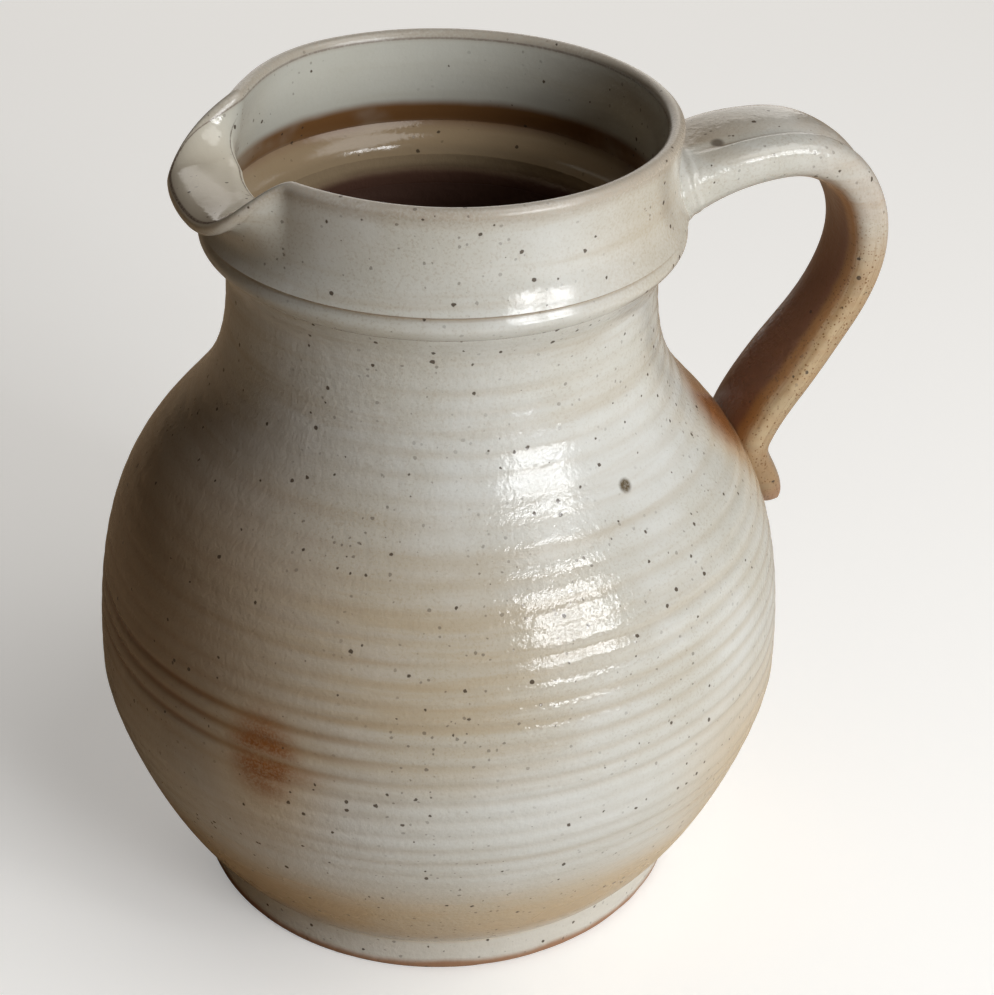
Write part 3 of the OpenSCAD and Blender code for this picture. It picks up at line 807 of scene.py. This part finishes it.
def bodyGlaze(s):
    material, tree, place, drift = startGlaze("body_glaze")
    z = heightOf(tree, place)
    groove, within = attribute(tree, "groove"), attribute(tree, "within")
    # ring grooves washed warmer and darker: painted shade in the grooves, with glaze pooled there
    colour = wash(tree, baseTone(tree, drift), "warm", groove, s["groove"])
    # whiter low on the belly, where the glaze lies thick
    colour = wash(tree, colour, "pale", between(tree, z, s["thickRise"], s["thickFall"]), s["thick"])
    # toasted glaze and painted shade on the side away from the light, browner still in its grooves
    toast = times(tree, flank(tree, place, *s["toastAndShadeFlank"]), ramp(tree, drift["Cloud"], *s["toastAndShadeCloud"]),
                  between(tree, z, s["toastRise"], s["toastAndShadeFall"]))
    colour = wash(tree, colour, "tan", toast, s["toast"])
    colour = wash(tree, colour, "brown", toast, groove, s["toastAndShadeGroove"])
    # soft ochre flush in the middle of the front, along the rings
    flush = spot(tree, mapped(tree, place, s["flushStretch"]), *s["flushSpot"])
    colour = wash(tree, colour, "honeyed", flush, ramp(tree, drift["Streak"], *s["flushStreak"]), s["flush"])
    # ochre band above the foot, wider on the side of the handle
    ragged = plus(tree, z, drift["Streak"], s["ragged"])
    band = times(tree, ramp(tree, ragged, *s["bandFall"]), ramp(tree, z, *s["bandFoot"]),
                 ramp(tree, drift["Cloud"], *s["bandCloud"]))
    side = times(tree, flank(tree, place, *s["sideFlank"]), ramp(tree, ragged, *s["sideFall"]), s["side"])
    band = calc(tree, "MAXIMUM", band, side)
    colour = wash(tree, colour, "ochre", band)
    # rusty smudge, broken along the rings
    low = mapped(tree, place, s["rustStretch"])
    colour = wash(tree, colour, "ochre", spot(tree, low, *s["smearSpot"]), s["smear"])
    drawn = times(tree, spot(tree, mapped(tree, place, s["drawnStretch"]), *s["drawnSpot"]), s["drawn"])
    rust = calc(tree, "MAXIMUM", spot(tree, low, *s["rustSpot"]), drawn)
    colour = wash(tree, colour, "rust", rust, ramp(tree, drift["Streak"], *s["rustStreak"]),
                  ramp(tree, drift["Grain"], *s["rustGrain"]))
    # scorch beside the handle's tail
    colour = wash(tree, colour, "ochre", spot(tree, place, *s["haloSpot"]), s["halo"])
    scorch = calc(tree, "MAXIMUM", *[spot(tree, place, *k) for k in s["scorchSpots"]])
    colour = wash(tree, colour, "rust", scorch, s["scorch"])
    colour = specked(tree, place, drift, colour, s["specks"])
    fleck = spot(tree, place, *s["fleckSpot"])
    colour = wash(tree, colour, "fleck", fleck, ramp(tree, drift["Grain"], *s["fleckGrain"]))
    # inside: a brown glaze, darkened below the neck as painted shade; the ledge below the collar stays a
    # lighter tan
    ledge = ramp(tree, plus(tree, z, drift["Cloud"], s["throatRagged"]), *s["throatRise"])
    colour = tint(tree, within, colour, tint(tree, ledge, glazeTones["deep"], glazeTones["ring"]))
    gloss = plus(tree, ramp(tree, drift["Cloud"], *s["gloss"]), band, s["bandGloss"])
    gloss = plus(tree, gloss, times(tree, within, ramp(tree, z, *s["throatDull"])), s["throatGloss"])
    closeGlaze(tree, colour, drift, gloss)
    return material


# Marks on the foot, in mm
footMarks = dict(
    pale=0.7, ragged=5, bareFall=(5.8, 3.6), crease=0.7, creaseRise=(8.5, 11.2), specks=0.9,
    gloss=(0.3, 0.7, 0.14, 0.24), bareGloss=0.45,
)


def footGlaze(s):
    material, tree, place, drift = startGlaze("foot_clay")
    z = heightOf(tree, place)
    colour = wash(tree, baseTone(tree, drift), "footTone", s["pale"])
    # ochre band carried down over the joint, with painted shade in the crease under the belly
    colour = wash(tree, colour, "ochre", ramp(tree, z, *s["creaseRise"]), s["crease"])
    bare = ramp(tree, plus(tree, z, drift["Cloud"], s["ragged"]), *s["bareFall"])
    colour = wash(tree, colour, "clay", bare)
    colour = specked(tree, place, drift, colour, s["specks"])
    gloss = plus(tree, ramp(tree, drift["Cloud"], *s["gloss"]), bare, s["bareGloss"])
    closeGlaze(tree, colour, drift, gloss)
    return material


# Marks on the collar: heights in mm, courses and sweeps as makeCollar paints them
collarMarks = dict(
    sandyFlank=(-32, 50, 8), sandyGrain=(0.3, 0.65, 0.35, 0.6), inside=0.8, lip=0.85,
    ragged=3, bandRise=(185.5, 188.5), bandFall=(195, 192), bandCloud=(0.32, 0.55, 0.55, 1.0),
    underFall=(190, 186), groove=0.6,
    tongueRise=(0.47, 0.52), tongueFall=(1.05, 0.98), tongueSweep=(-0.2, 0.14, 0.1, 0.62),
    rough=(0.3, 0.6, 0.6, 1.0), thin=0.8, thinRise=(0.94, 1.02), thinFall=(1.42, 1.27), thinLip=-0.75,
    ridge=0.5, ridgeLip=0.3, ridgeRise=(0.975, 0.99), ridgeFall=(1.015, 0.998),
    crease=0.7, creaseEdge=(0.022, 0.004), creaseLip=(0.02, 0.2), creaseSweep=(0.15, 0.04),
    specks=0.5, gloss=(0.3, 0.7, 0.10, 0.20), thinGloss=0.15, peel=0.16,
)


def collarGlaze(s):
    material, tree, place, drift = startGlaze("collar_glaze")
    names = ("course", "within", "groove", "lip", "sweep")
    course, within, groove, lip, sweep = (attribute(tree, name) for name in names)
    sandy = times(tree, flank(tree, place, *s["sandyFlank"]), ramp(tree, drift["Grain"], *s["sandyGrain"]))
    colour = wash(tree, baseTone(tree, drift), "warm", sandy)
    colour = wash(tree, colour, "cool", within, s["inside"])
    colour = wash(tree, colour, "lipTone", within, lip, s["lip"])
    # brown band inside, with a lighter one under it
    ragged = plus(tree, heightOf(tree, place), drift["Cloud"], s["ragged"])
    colour = wash(tree, colour, "ring", ramp(tree, ragged, *s["underFall"]), within)
    colour = wash(tree, colour, "brown", between(tree, ragged, s["bandRise"], s["bandFall"]), within,
                  ramp(tree, drift["Cloud"], *s["bandCloud"]))
    colour = wash(tree, colour, "tan", groove, s["groove"])
    # rim and lip: tan where the glaze draws off the edge, a dark line along the rim's edge, painted shade
    # along the tongue's crease
    # a brownish tint and painted shade on the tongue, darker towards its near end
    tongue = between(tree, course, s["tongueRise"], s["tongueFall"])
    colour = wash(tree, colour, "hazeAndShade", ramp(tree, sweep, *s["tongueSweep"]), tongue, lip)
    rough = ramp(tree, drift["Grain"], *s["rough"])
    thin = between(tree, course, s["thinRise"], s["thinFall"])
    thin = times(tree, thin, rough, plus(tree, 1.0, lip, s["thinLip"]))
    colour = wash(tree, colour, "edge", thin, s["thin"])
    ridge = between(tree, course, s["ridgeRise"], s["ridgeFall"])
    ridge = times(tree, ridge, plus(tree, s["ridge"], lip, s["ridgeLip"]))
    # painted shade: a dark line where the tongue folds down from the wall
    rest = calc(tree, "SUBTRACT", 1.0, lip)
    rising = plus(tree, course, times(tree, rest, rest), -collarForm["creaseRise"])
    line, (far, near) = collarForm["creaseAt"], s["creaseEdge"]
    crease = between(tree, rising, (line - far, line - near), (line + far, line + near))
    crease = times(tree, crease, ramp(tree, lip, *s["creaseLip"]), ramp(tree, sweep, *s["creaseSweep"]),
                   s["crease"])
    colour = wash(tree, colour, "deep", calc(tree, "MAXIMUM", ridge, crease), rough)
    colour = specked(tree, place, drift, colour, s["specks"])
    gloss = plus(tree, ramp(tree, drift["Cloud"], *s["gloss"]), thin, s["thinGloss"])
    closeGlaze(tree, colour, drift, gloss, s["peel"])
    return material


# Marks on the handle: stretches run along the strap from 0 at the root to 1 at the tail's end
handleMarks = dict(
    drift=0.2, honey=0.85, honeyRise=(0.5, 0.68), toast=0.8, toastRise=(0.52, 0.72),
    tail=0.8, tailRise=(0.84, 0.95), drawn=dict(under=5.0, over=5.0, along=7.0),
    drawnCloud=(2.2, 3, 0.6), drawnMask=(0.42, 0.64), drawnRise=(0.5, 0.66, 0.0, 0.55),
    shade=0.3, shadeRise=(0.34, 0.5), warm=0.9, warmFrom=(0.0, 0.5), innerFrom=(0.65, 1.05),
    hazeAndShadeFall=(0.42, 0.15, 0.25, 0.85), crease=0.7, bare=0.85, specks=0.6,
    pepper=dict(Cells=1500.0, Few=0.05, Size=0.52, Edge=5.0), pepperShift=(0.5, 0.8, 0.1),
    pepperRise=(0.5, 0.66, 0.05, 0.9), fleck=0.75, fleckSpot=((67.1, -4.8, 198.4), 2.5, 0.45),
    gloss=(0.3, 0.7, 0.12, 0.22), warmGloss=0.12,
)


def handleGlaze(s):
    material, tree, place, drift = startGlaze("handle_glaze")
    painted = {name: attribute(tree, name) for name in ("along", "under", "over", "bare", "crease", "far")}
    along = plus(tree, painted["along"], drift["Cloud"], s["drift"])
    colour = wash(tree, baseTone(tree, drift), "honey", ramp(tree, along, *s["honeyRise"]), s["honey"])
    colour = wash(tree, colour, "tan", painted["over"], ramp(tree, along, *s["toastRise"]), s["toast"])
    colour = wash(tree, colour, "tan", ramp(tree, along, *s["tailRise"]), s["tail"])
    # streaks drawn lengthwise by the hand
    lengthwise = addNode(tree, "ShaderNodeCombineXYZ")
    for socket, (name, scale) in zip(lengthwise.inputs, s["drawn"].items()):
        feed(tree, socket, times(tree, painted[name], scale))
    drawn = ramp(tree, cloud(tree, lengthwise.outputs[0], *s["drawnCloud"]), *s["drawnMask"])
    colour = wash(tree, colour, "tan", drawn, ramp(tree, along, *s["drawnRise"]))
    # the underside is orange and then bare brown
    shade = plus(tree, painted["under"], drift["Streak"], s["shade"])
    low = ramp(tree, along, *s["shadeRise"])
    warm = times(tree, ramp(tree, shade, *s["warmFrom"]), low)
    colour = wash(tree, colour, "orange", warm, s["warm"])
    colour = wash(tree, colour, "inner", ramp(tree, shade, *s["innerFrom"]), low)
    # brown haze and painted shade on the far half of the strap's top, near the root
    colour = wash(tree, colour, "hazeAndShade", painted["far"], ramp(tree, along, *s["hazeAndShadeFall"]))
    # painted shade: a dark line in the crease along the strap's top
    colour = wash(tree, colour, "brown", painted["crease"], s["crease"])
    colour = wash(tree, colour, "clay", painted["bare"], s["bare"])
    colour = specked(tree, place, drift, colour, s["specks"])
    pepper = useGroup(tree, speckGroup, mapped(tree, place, place=s["pepperShift"]), **s["pepper"])["Speck"]
    colour = wash(tree, colour, "brown", pepper, ramp(tree, along, *s["pepperRise"]))
    colour = wash(tree, colour, "iron", spot(tree, place, *s["fleckSpot"]), s["fleck"])
    gloss = plus(tree, ramp(tree, drift["Cloud"], *s["gloss"]), warm, s["warmGloss"])
    closeGlaze(tree, colour, drift, gloss)
    return material


finishPiece(makeBody(bodyForm), ["thrown_body"], bodyGlaze(bodyMarks))
finishPiece(makeFoot(footForm), ["foot_ring"], footGlaze(footMarks))
finishPiece(makeCollar(collarForm), ["neck_collar", "pouring_lip"], collarGlaze(collarMarks))
finishPiece(makeHandle(handleForm), ["strap_handle", "handle_root", "handle_tail"],
            handleGlaze(handleMarks))


# Floor and light, in metres: a window of four panes to the right, broad soft lights above and behind
studioSet = dict(
    floorSize=60.0, floorTone=(0.88, 0.875, 0.86), floorCloud=3, floorFade=0.985, floorRough=0.8,
    floorGlow=(0.36, 1.0), glowFrom=(0.8, 2.4), litWay=(0.7, -0.7, 0), litFrom=(-0.02, 0.1),
    floorBounce=(0.85, 0.80, 0.71), floorDark=(0.46, 0.33, 0.21),
    room=(0.042, 0.031, 0.021), backdrop=(0.9, 0.9, 0.89),
    windowWay=(0.47, -0.81, 0.36), windowFar=1.3, windowSize=(0.58, 0.62), bar=0.08, windowPower=12.0,
    windowTone=(0.98, 1.0, 1.02), aim=(0, 0, 0.11),
    backPlace=(0.3, 1.5, 0.45), backSize=1.3, backPower=7, backTone=(1.0, 0.96, 0.9),
    topPlace=(0.6, -0.45, 1.3), topSize=0.9, topPower=7, topTone=(1.0, 0.99, 0.97),
)


def addPanel(name, place, aim, size, power, tone):
    deselect()
    bpy.ops.object.light_add(type="AREA", location=place)
    panel = bpy.context.object
    panel.name = name
    panel.rotation_euler = (Vector(aim) - Vector(place)).to_track_quat("-Z", "Y").to_euler()
    panel.data.shape = "RECTANGLE"
    panel.data.size, panel.data.size_y = size
    panel.data.energy = power
    panel.data.color = tone


def showApart(tree, lighting, shown, output):  # the camera sees one shader, the light meets the other
    seen = addNode(tree, "ShaderNodeMixShader")
    feed(tree, seen.inputs[0], addNode(tree, "ShaderNodeLightPath").outputs["Is Camera Ray"])
    feed(tree, seen.inputs[1], lighting.outputs[0])
    feed(tree, seen.inputs[2], shown.outputs[0])
    feed(tree, tree.nodes[output].inputs["Surface"], seen.outputs[0])


def makeFloor(s):
    deselect()
    bpy.ops.mesh.primitive_plane_add(size=s["floorSize"])
    floor = bpy.context.object
    floor.name = "floor"
    material = bpy.data.materials.new("pale_floor")
    material.use_nodes = True
    tree = material.node_tree
    shader = tree.nodes["Principled BSDF"]
    place = addNode(tree, "ShaderNodeTexCoord").outputs["Object"]
    tone, faded = s["floorTone"], [c * s["floorFade"] for c in s["floorTone"]]
    feed(tree, shader.inputs["Base Color"], tint(tree, cloud(tree, place, s["floorCloud"]), tone, faded))
    shader.inputs["Roughness"].default_value = s["floorRough"]
    shader.inputs["Emission Color"].default_value = (*tone, 1)
    # the floor pales with distance until it meets the backdrop without an edge
    glow = ramp(tree, vectorCalc(tree, "LENGTH", place), *s["glowFrom"], *s["floorGlow"])
    feed(tree, shader.inputs["Emission Strength"], glow)
    # light comes back from the window's side of the table, the other side is in the dark of the room
    bounce = addNode(tree, "ShaderNodeBsdfDiffuse")
    lit = ramp(tree, vectorCalc(tree, "DOT_PRODUCT", place, s["litWay"]), *s["litFrom"])
    feed(tree, bounce.inputs["Color"], tint(tree, lit, s["floorDark"], s["floorBounce"]))
    showApart(tree, bounce, shader, "Material Output")
    floor.data.materials.append(material)


def makeLights(s):
    way = Vector(s["windowWay"]).normalized()
    centre = Vector(s["aim"]) + way * s["windowFar"]
    across = way.cross(Vector((0, 0, 1))).normalized()
    up = across.cross(way)
    wide, tall = [(size - s["bar"]) / 2 for size in s["windowSize"]]
    power = s["windowPower"] / 4  # shared by the panes
    for i in (-1, 1):
        for j in (-1, 1):
            place = centre + across * i * (wide + s["bar"]) / 2 + up * j * (tall + s["bar"]) / 2
            addPanel(f"window_{i}_{j}", place, place - way, (wide, tall), power, s["windowTone"])
    for name in ("back", "top"):
        size = (s[name + "Size"], s[name + "Size"])
        addPanel("soft_" + name, s[name + "Place"], s["aim"], size, s[name + "Power"], s[name + "Tone"])


def makeRoom(s):
    world = bpy.data.worlds.new("room")
    world.use_nodes = True
    bpy.context.scene.world = world
    tree = world.node_tree
    room = tree.nodes["Background"]
    room.inputs["Color"].default_value = (*s["room"], 1)
    backdrop = addNode(tree, "ShaderNodeBackground")
    backdrop.inputs["Color"].default_value = (*s["backdrop"], 1)
    showApart(tree, room, backdrop, "World Output")
    bpy.context.scene.view_settings.view_transform = "Standard"


makeFloor(studioSet)
makeLights(studioSet)
makeRoom(studioSet)
print("studio lit")
